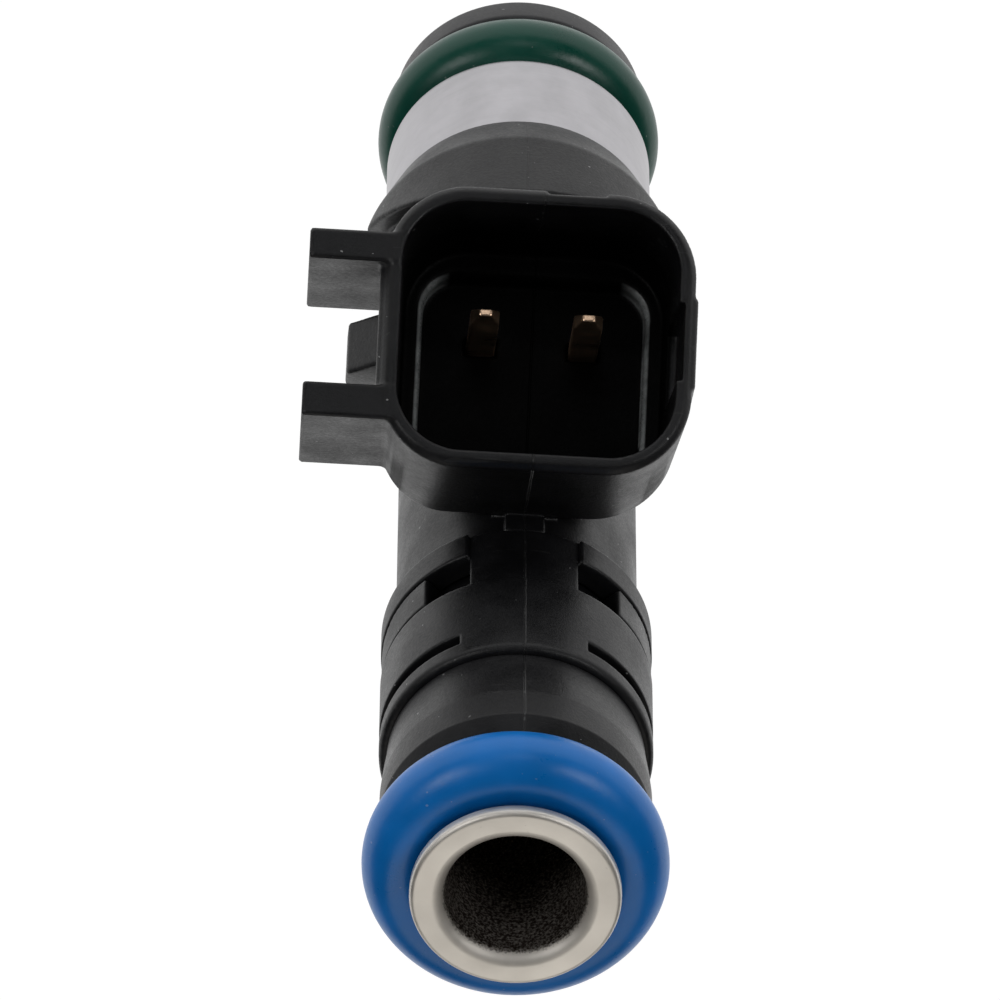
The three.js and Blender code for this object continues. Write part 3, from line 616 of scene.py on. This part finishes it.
def socket_painted_light_masks(n):
    """Two masks of the plug's socket: its inside, for painted shade, and a line along the edges of
    its well, for a painted highlight.
    """
    at = n.coordinates()
    side = n.math("ABSOLUTE", at["X"])
    y = n.math("SUBTRACT", at["Y"], MOUTH[1] * MM)
    z = n.math("SUBTRACT", at["Z"], MOUTH[2] * MM)
    v, depth = (
        n.math("ADD", n.math("MULTIPLY", y, float(axis[1])), n.math("MULTIPLY", z, float(axis[2])))
        for axis in (V_AXIS, DEPTH_AXIS)
    )
    within = n.math(
        "MULTIPLY",
        n.ramp(side, 6.72 * MM, 6.6 * MM),
        n.ramp(n.math("ABSOLUTE", v), 6.3 * MM, 6.1 * MM),
    )
    # Painted shade: this mask covers the socket's inside, which is painted near black as if no
    # light reached it.
    inside = n.math("MULTIPLY", within, n.ramp(depth, 0.8 * MM, 4.5 * MM))
    inside = n.math("MULTIPLY", inside, n.ramp(depth, 10.2 * MM, 9.8 * MM))
    # Painted highlight: a pale line along the rounded edges of the well, standing in for a glint
    # of light.
    across = n.math("MAXIMUM", n.math("SUBTRACT", side, (WELL_X - WELL_CORNER) * MM), 0.0)
    up = n.math("MAXIMUM", n.math("SUBTRACT", v, (WELL_V - WELL_CORNER) * MM), 0.0)
    squares = [n.math("MULTIPLY", value, value) for value in (across, up)]
    reach = n.math("SQRT", n.math("ADD", *squares))
    offset = n.math("ABSOLUTE", n.math("SUBTRACT", reach, (WELL_CORNER + 0.08) * MM))
    line = n.ramp(offset, 0.16 * MM, 0.06 * MM)
    line = n.math("MULTIPLY", line, n.ramp(across, 0.5 * MM, 1.5 * MM))
    line = n.math("MULTIPLY", line, n.ramp(v, -4.4 * MM, -4.1 * MM))
    line = n.math("MULTIPLY", line, n.ramp(n.noise(0.9, 2), 0.3, 0.6, 0.45, 1))
    return inside, n.math("MULTIPLY", line, inside)


def plastic(name, color, roughness=0.5, seam=False, grain=0.006, gloss=0.34, socket=False):
    """Glass-filled moulded plastic: fine grain, flow marks, pale specks, rubbed edges.

    seam adds the mould's parting line at x = 0, and socket adds painted shade in the plug's inside
    and a painted highlight along the edges of its well."""
    n = Nodes(name)
    coarse = n.noise(2.6, 3)
    fine = n.noise(0.16, 2)
    micro = n.noise(0.05, 1)
    flow = n.noise(0.8, 3, stretch=(1, 1, 0.16))
    light = tuple(c * 1.8 + 0.001 for c in color[:3]) + (1,)
    base = n.mix(n.ramp(coarse, 0.35, 0.7), color, light)
    fibres = n.noise(0.11, 1, stretch=(1, 1, 0.35))
    base = n.mix(n.ramp(fibres, 0.81, 0.85, 0, 0.3), base, grey(0.1))
    specks = n.noise(0.21, 0)
    base = n.mix(n.ramp(specks, 0.875, 0.885, 0, 0.8), base, grey(0.3))
    scratch = n.noise(0.5, 2, stretch=(0.12, 1.4, 3.2), rough=0.4)
    scuffs = n.ramp(scratch, 0.71, 0.735, 0, 0.35)
    base = n.mix(scuffs, base, grey(0.04))
    worn = n.ramp(n.add("ShaderNodeNewGeometry").outputs["Pointiness"], 0.54, 0.62, 0, 0.3)
    base = n.mix(worn, base, grey(0.04))
    height = n.math("ADD", n.math("MULTIPLY", fine, 0.6), n.math("MULTIPLY", micro, 0.4))
    normal = n.bump(height, grain * 3)
    normal = n.bump(flow, grain, normal)
    if seam:
        wobble = n.math("MULTIPLY", n.math("SUBTRACT", n.noise(1.5), 0.5), 0.08 * MM)
        across = n.math("ABSOLUTE", n.math("ADD", n.coordinates()["X"], wobble))
        ridge = n.ramp(across, 0.02 * MM, 0.07 * MM, 1, 0)
        normal = n.bump(ridge, 0.05, normal)
        broken = n.math("MULTIPLY", ridge, n.ramp(n.noise(0.35, 1), 0.6, 0.7, 0.03, 0.6))
        base = n.mix(broken, base, grey(0.1))
    patchy = n.ramp(coarse, 0.3, 0.7, roughness - 0.06, roughness + 0.07)
    rough = n.math("ADD", patchy, n.ramp(fine, 0.3, 0.7, -0.05, 0.05))
    if socket:
        inside, edges = socket_painted_light_masks(n)
        # Painted shade: the socket's inside is painted near black and given almost no gloss.
        base = n.mix(inside, base, grey(0.0012))
        # Painted highlight: the well's edge line is painted pale grey and made glossier.
        base = n.mix(edges, base, grey(0.3, (0.95, 1, 1)))
        rough = n.math("SUBTRACT", rough, n.math("MULTIPLY", edges, 0.2))
        gloss = n.math("SUBTRACT", gloss, n.math("MULTIPLY", inside, gloss - 0.04))
        gloss = n.math("ADD", gloss, n.math("MULTIPLY", edges, 1.0))
    return n.done(base, rough, normal, Specular_IOR_Level=gloss)


def rubber(name, color, roughness=0.38):
    """Satin moulded rubber, a little patchy, with a little dust."""
    n = Nodes(name)
    coarse = n.noise(3.2, 2)
    fine = n.noise(0.22, 2)
    dark = tuple(c * 0.82 for c in color[:3]) + (1,)
    base = n.mix(n.ramp(coarse, 0.3, 0.7), dark, color)
    dust = n.ramp(n.noise(0.19, 0), 0.845, 0.86, 0, 0.35)
    base = n.mix(dust, base, tuple(0.35 + 0.4 * c for c in color[:3]) + (1,))
    patchy = n.ramp(coarse, 0.3, 0.7, roughness - 0.05, roughness + 0.06)
    rough = n.math("ADD", patchy, n.ramp(fine, 0.3, 0.7, -0.03, 0.03))
    normal = n.bump(fine, 0.006)
    normal = n.bump(n.noise(1.4, 2), 0.012, normal)
    return n.done(base, rough, normal, Specular_IOR_Level=0.4)


def metal(name, color, roughness=0.28, lines=0.0015, pits=0.3, dark_within=None):
    """Turned or drawn metal: fine rings round the axis, small pits and uneven polish.

    Given a radius in millimetres, the metal nearer the axis than that radius is a darker, blotched
    brown."""
    n = Nodes(name)
    coarse = n.noise(2.2, 3)
    rings = n.noise(0.07, 2, stretch=(0.02, 0.02, 1))
    fine = n.noise(0.12, 2)
    dark = tuple(c * 0.8 for c in color[:3]) + (1,)
    base = n.mix(n.ramp(coarse, 0.35, 0.68), dark, color)
    spots = n.ramp(n.noise(0.2, 1), 0.75, 0.79, 0, pits)
    base = n.mix(spots, base, grey(0.1, (1, 0.85, 0.7)))
    patchy = n.ramp(coarse, 0.3, 0.7, roughness - 0.05, roughness + 0.08)
    rough = n.math("ADD", patchy, n.ramp(rings, 0.3, 0.7, -0.04, 0.05))
    normal = n.bump(rings, lines)
    normal = n.bump(fine, 0.0012, normal)
    if dark_within:
        at = n.coordinates()
        squares = [n.math("MULTIPLY", at[axis], at[axis]) for axis in "XY"]
        radius = n.math("SQRT", n.math("ADD", *squares))
        grit = n.noise(0.13, 2)
        shift = n.math("MULTIPLY", n.math("SUBTRACT", grit, 0.5), 0.3 * MM)
        blotched = n.math("ADD", radius, shift)
        inner_dark = n.ramp(blotched, (dark_within - 0.05) * MM, (dark_within + 0.08) * MM, 1, 0)
        # Inside that radius, the metal is turned a blotched dark brown.
        dark_brown, mid_brown = grey(0.05, (1, 0.7, 0.55)), grey(0.13, (1, 0.8, 0.65))
        browns = n.mix(n.ramp(grit, 0.4, 0.75), dark_brown, mid_brown)
        base = n.mix(inner_dark, base, browns)
        blasted = n.ramp(radius, (dark_within + 0.5) * MM, (dark_within + 0.8) * MM, 0.6, 0)
        rough = n.math("MAXIMUM", rough, blasted)
        normal = n.bump(n.math("MULTIPLY", grit, inner_dark), 0.03, normal)
    return n.done(base, rough, normal, 1.0)


BLACK = grey(0.004, (1, 1, 1.15))
SOFT_BLACK = grey(0.0042, (1, 1, 1.15))
CAP_GREY = grey(0.022, (1, 1, 1.06))
AMBER = (0.16, 0.11, 0.05, 1)
BLUE = (0.0001, 0.185, 0.62, 1)
GREEN = (0.0002, 0.07, 0.046, 1)
STAINLESS = (0.86, 0.82, 0.76, 1)
SILVER = (0.52, 0.51, 0.53, 1)
STEEL = (0.38, 0.38, 0.39, 1)
BRIGHT_STEEL = (0.50, 0.51, 0.53, 1)
COPPER = (0.55, 0.20, 0.07, 1)
PLATED = (0.95, 0.66, 0.45, 1)

MATERIALS = {
    # socket=True paints shade into the plug's inside and a highlight along the edges of its well.
    "body_plastic": plastic("body_plastic", BLACK, 0.42, seam=True, socket=True),
    "collar_plastic": plastic("collar_plastic", SOFT_BLACK, 0.42, seam=True),
    "cone_plastic": plastic("cone_plastic", SOFT_BLACK, 0.38, seam=True, gloss=0.3),
    "cap_plastic": plastic("cap_plastic", CAP_GREY, 0.42, grain=0.003, gloss=0.5),
    "filter_plastic": plastic("filter_plastic", AMBER, 0.6),
    "bobbin_plastic": plastic("bobbin_plastic", AMBER, 0.55),
    "blue_rubber": rubber("blue_rubber", BLUE, 0.34),
    "green_rubber": rubber("green_rubber", GREEN, 0.32),
    "inlet_steel": metal("inlet_steel", STAINLESS, 0.48, pits=0.12, dark_within=3.38),
    "silver_steel": metal("silver_steel", SILVER, 0.4, lines=0.002, pits=0.06),
    "inner_steel": metal("inner_steel", STAINLESS, 0.3),
    "magnet_steel": metal("magnet_steel", STEEL, 0.42),
    "hard_steel": metal("hard_steel", BRIGHT_STEEL, 0.12, lines=0.0004, pits=0.05),
    "spring_steel": metal("spring_steel", STEEL, 0.3),
    "filter_steel": metal("filter_steel", STEEL, 0.5),
    "plated_brass": metal("plated_brass", PLATED, 0.32, pits=0.1),
    "copper_wire": metal("copper_wire", COPPER, 0.35, lines=0.02, pits=0.1),
}

for entry in frame["record"]["subparts"]:
    node = frame["nodes"][entry["node"]]
    for place in node.material_slots:
        place.material = MATERIALS[entry["material_slot"]]


# ---- Pieces -----------------------------------------------------------------------------
# The corners run outwards along the bottom, up the outside and down the inside.


def build_inlet_tube():
    bottom, top = TUBE_LO[2], TUBE_HI[2]
    return turned("inlet_tube_fine", [
        (TUBE_BORE_R, bottom), (TUBE_R, bottom, 0.1), (TUBE_R, top - 1.8, 0.3),
        (FLANGE_R - 0.75, top - 1.1, 0.4), (FLANGE_R, top - 0.62, 0.12), (FLANGE_R, top, 0.28),
        (TUBE_BORE_R, top, 0.68),
    ], steps=10)


def build_ring(name, centre_z):
    """A seal ring of round section."""
    middle = RING_R - RING_SECTION_R
    steps = 56
    outline = []
    for i in range(steps):
        angle = 2 * math.pi * i / steps
        outline.append((
            middle + RING_SECTION_R * math.cos(angle),
            centre_z + RING_SECTION_R * math.sin(angle),
        ))
    return turned(name, outline)


def build_cone():
    bottom, top = CONE_LO[2], CONE_HI[2]
    return turned("support_cone_fine", [
        (TUBE_R + FIT, bottom), (CONE_R - 0.3, bottom, 0.06), (CONE_R - 0.24, bottom + 0.9, 2.0),
        (CONE_R - 0.09, bottom + 2.3, 2.0), (CONE_R, bottom + 3.4, 2.0), (CONE_R, top - 1.3, 0.25),
        (CONE_R - 0.75, top, 0.2), (TUBE_R + FIT, top),
    ], steps=8)


def build_housing():
    bottom, top = HOUSING_LO[2], HOUSING_HI[2]
    return turned("magnet_housing_fine", [
        (VALVE_BORE_R, bottom), (HOUSING_R, bottom, 0.75), (HOUSING_R, HOUSING_STEP_Z, 0.05),
        (HOUSING_UPPER_R, HOUSING_STEP_Z), (HOUSING_UPPER_R, top, 0.15), (HOUSING_BORE_R, top),
        (HOUSING_BORE_R, bottom + HOUSING_FLOOR), (VALVE_BORE_R, bottom + HOUSING_FLOOR),
    ], steps=10)


def build_cap():
    low, high = CAP_LO[2], CAP_HI[2]
    radius = CAP_HI[0]
    return turned("nozzle_cap_fine", [
        (CAP_HOLE_R, low), (CAP_FACE_R, low, 0.25), (CAP_FACE_R + 0.3, low + CAP_LIP, 0.1),
        (radius, low + CAP_LIP, 0.3), (radius, high, 0.3), (VALVE_BORE_R, high),
        (VALVE_BORE_R, low + CAP_FLOOR), (CAP_HOLE_R, low + CAP_FLOOR),
    ], steps=8)


def build_spring():
    """The return spring: round wire along a helix whose end turns lie close together."""
    sides = 12
    steps = SPRING_TURNS * 40
    middle_r = (SPRING_HI[0] - SPRING_LO[0]) / 2 - SPRING_WIRE_R
    t = np.linspace(0, 1, steps + 1)
    angle = SPRING_TURNS * 2 * math.pi * t
    low, high = SPRING_LO[2] + SPRING_WIRE_R, SPRING_HI[2] - SPRING_WIRE_R
    height = low + (high - low) * (t - 0.055 * np.sin(2 * math.pi * t))
    line = np.stack([middle_r * np.cos(angle), middle_r * np.sin(angle), height], 1)
    along = np.gradient(line, axis=0)
    along /= np.linalg.norm(along, axis=1)[:, None]
    outward = np.stack([np.cos(angle), np.sin(angle), 0 * angle], 1)
    upward = np.cross(along, outward)
    around_wire = np.arange(sides) * 2 * math.pi / sides
    points = line[:, None] + SPRING_WIRE_R * (
        outward[:, None] * np.cos(around_wire)[None, :, None]
        + upward[:, None] * np.sin(around_wire)[None, :, None]
    )
    faces = [
        (
            a * sides + b, a * sides + (b + 1) % sides,
            (a + 1) * sides + (b + 1) % sides, (a + 1) * sides + b,
        )
        for a in range(steps) for b in range(sides)
    ]
    first = list(range(sides))[::-1]
    last = list(range(steps * sides, (steps + 1) * sides))
    obj = make_mesh("return_spring_fine", points.reshape(-1, 3), faces + [first, last])
    crease(obj, 60)
    return obj


# Grid cells in millimetres: the smaller the piece, the finer its grid.
BODY_CELL = 0.14
COLLAR_CELL, TERMINAL_CELL = 0.09, 0.08
PIECES = [
    (build_inlet_tube(), "inlet_tube", "inlet_steel"),
    (build_ring("upper_seal_ring_fine", UPPER_RING_Z), "upper_seal_ring", "blue_rubber"),
    (build_cone(), "support_cone", "cone_plastic"),
    (build_housing(), "magnet_housing", "silver_steel"),
    (build_ring("lower_seal_ring_fine", LOWER_RING_Z), "lower_seal_ring", "green_rubber"),
    (build_cap(), "nozzle_cap", "cap_plastic"),
    (
        surface("moulded_body_fine", body_field, BODY_LO, BODY_HI, BODY_CELL),
        "moulded_body", "body_plastic",
    ),
    (
        surface("adapter_collar_fine", collar_field, COLLAR_LO, COLLAR_HI, COLLAR_CELL),
        "adapter_collar", "collar_plastic",
    ),
]
for name, side in (("terminal_left", 1), ("terminal_right", -1)):
    low, high = cad_box(name)
    blade = surface(
        f"{name}_fine", lambda x, y, z, side=side: terminal_field(x, y, z, side),
        low, high, TERMINAL_CELL,
    )
    PIECES.append((blade, name, "plated_brass"))

for piece, node, slot in PIECES:
    finish_piece(piece, "injector", [node], MATERIALS[slot])

# The return spring, with its placement baked into its points.
spring = build_spring()
spring.data.materials.append(MATERIALS["spring_steel"])
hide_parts("return_spring")
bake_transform(spring)


# ---- Stage: floor, light and camera -----------------------------------------------------


def make_floor():
    """A plain pale floor, lower than the injector, that shines softly of itself."""
    size = 3.0
    drop = 0.16
    mesh = bpy.data.meshes.new("floor")
    corners = [(-size, -size, 0), (size, -size, 0), (size, size, 0), (-size, size, 0)]
    mesh.from_pydata(corners, [], [(0, 1, 2, 3)])
    floor = bpy.data.objects.new("floor", mesh)
    floor.location.z = -drop
    bpy.context.scene.collection.objects.link(floor)
    material = bpy.data.materials.new("floor_white")
    material.use_nodes = True
    shader = material.node_tree.nodes["Principled BSDF"]
    shader.inputs["Base Color"].default_value = (0.06, 0.06, 0.06, 1)
    shader.inputs["Roughness"].default_value = 0.9
    shader.inputs["Emission Color"].default_value = (1, 1, 1, 1)
    shader.inputs["Emission Strength"].default_value = 1.0
    mesh.materials.append(material)


def softbox(name, place, aim, size, watts, color):
    """A rectangular soft light at a place, turned towards aim."""
    data = bpy.data.lights.new(name, "AREA")
    data.shape = "RECTANGLE"
    data.size, data.size_y = size
    data.energy = watts
    data.color = color
    light = bpy.data.objects.new(name, data)
    light.location = place
    light.rotation_euler = (Vector(aim) - Vector(place)).to_track_quat("-Z", "Y").to_euler()
    bpy.context.scene.collection.objects.link(light)


# The camera looks at the rail end from above, with the nozzle towards the top of the picture
# and +X to its left. Distances are in metres, from the upper ring's centre.
ELEVATION = math.radians(56)
AZIMUTH = math.radians(3.4)
RING_DISTANCE = 0.520
RING_RIGHT, RING_UP = 0.00084, -0.0172
TILT = math.radians(0.34)

around = Matrix.Rotation(AZIMUTH, 3, "Z")
BACK = around @ Vector((0, -math.cos(ELEVATION), math.sin(ELEVATION)))
UP = around @ Vector((0, -math.sin(ELEVATION), -math.cos(ELEVATION)))
RIGHT = UP.cross(BACK)
ring_centre = Vector((0, 0, UPPER_RING_Z * MM))


def make_camera():
    """The photo's camera, placed from the upper ring's centre in the picture."""
    data = bpy.data.cameras.new("camera")
    data.sensor_width = 36
    data.lens = 396
    data.clip_start, data.clip_end = 0.02, 20
    camera = bpy.data.objects.new("camera", data)
    bpy.context.scene.collection.objects.link(camera)
    place = ring_centre - RIGHT * RING_RIGHT - UP * RING_UP + BACK * RING_DISTANCE
    turn = Matrix((RIGHT, UP, BACK)).transposed() @ Matrix.Rotation(TILT, 3, "Z")
    camera.matrix_world = Matrix.Translation(place) @ turn.to_4x4()
    bpy.context.scene.camera = camera


def make_light():
    """Softboxes on either side in front, a wide panel behind, a small one in front."""
    middle = Vector((0, 0, 0.035))
    lamps = [
        # name, direction from the injector, distance, width and height, power, colour
        ("softbox_left", (0.60, -0.52, 0.60), 0.40, (0.14, 0.14), 0.30, (1, 1, 1)),
        ("softbox_right", (-0.60, -0.52, 0.60), 0.40, (0.14, 0.14), 0.30, (1, 1, 1)),
        ("panel_behind", (0, 0.62, 0.78), 0.45, (0.45, 0.30), 0.48, (1, 0.97, 0.92)),
        ("panel_front", (0, -0.94, 0.34), 0.45, (0.16, 0.14), 0.10, (0.95, 0.97, 1)),
    ]
    for name, way, distance, size, watts, color in lamps:
        place = middle + around @ Vector(way).normalized() * distance
        softbox(name, place, middle, size, watts, color)
    world = bpy.data.worlds.new("studio")
    bpy.context.scene.world = world
    world.use_nodes = True
    world.node_tree.nodes["Background"].inputs["Color"].default_value = (1, 1, 1, 1)
    world.node_tree.nodes["Background"].inputs["Strength"].default_value = 0.03


make_floor()
make_camera()
make_light()
bpy.context.scene.view_settings.view_transform = "Standard"
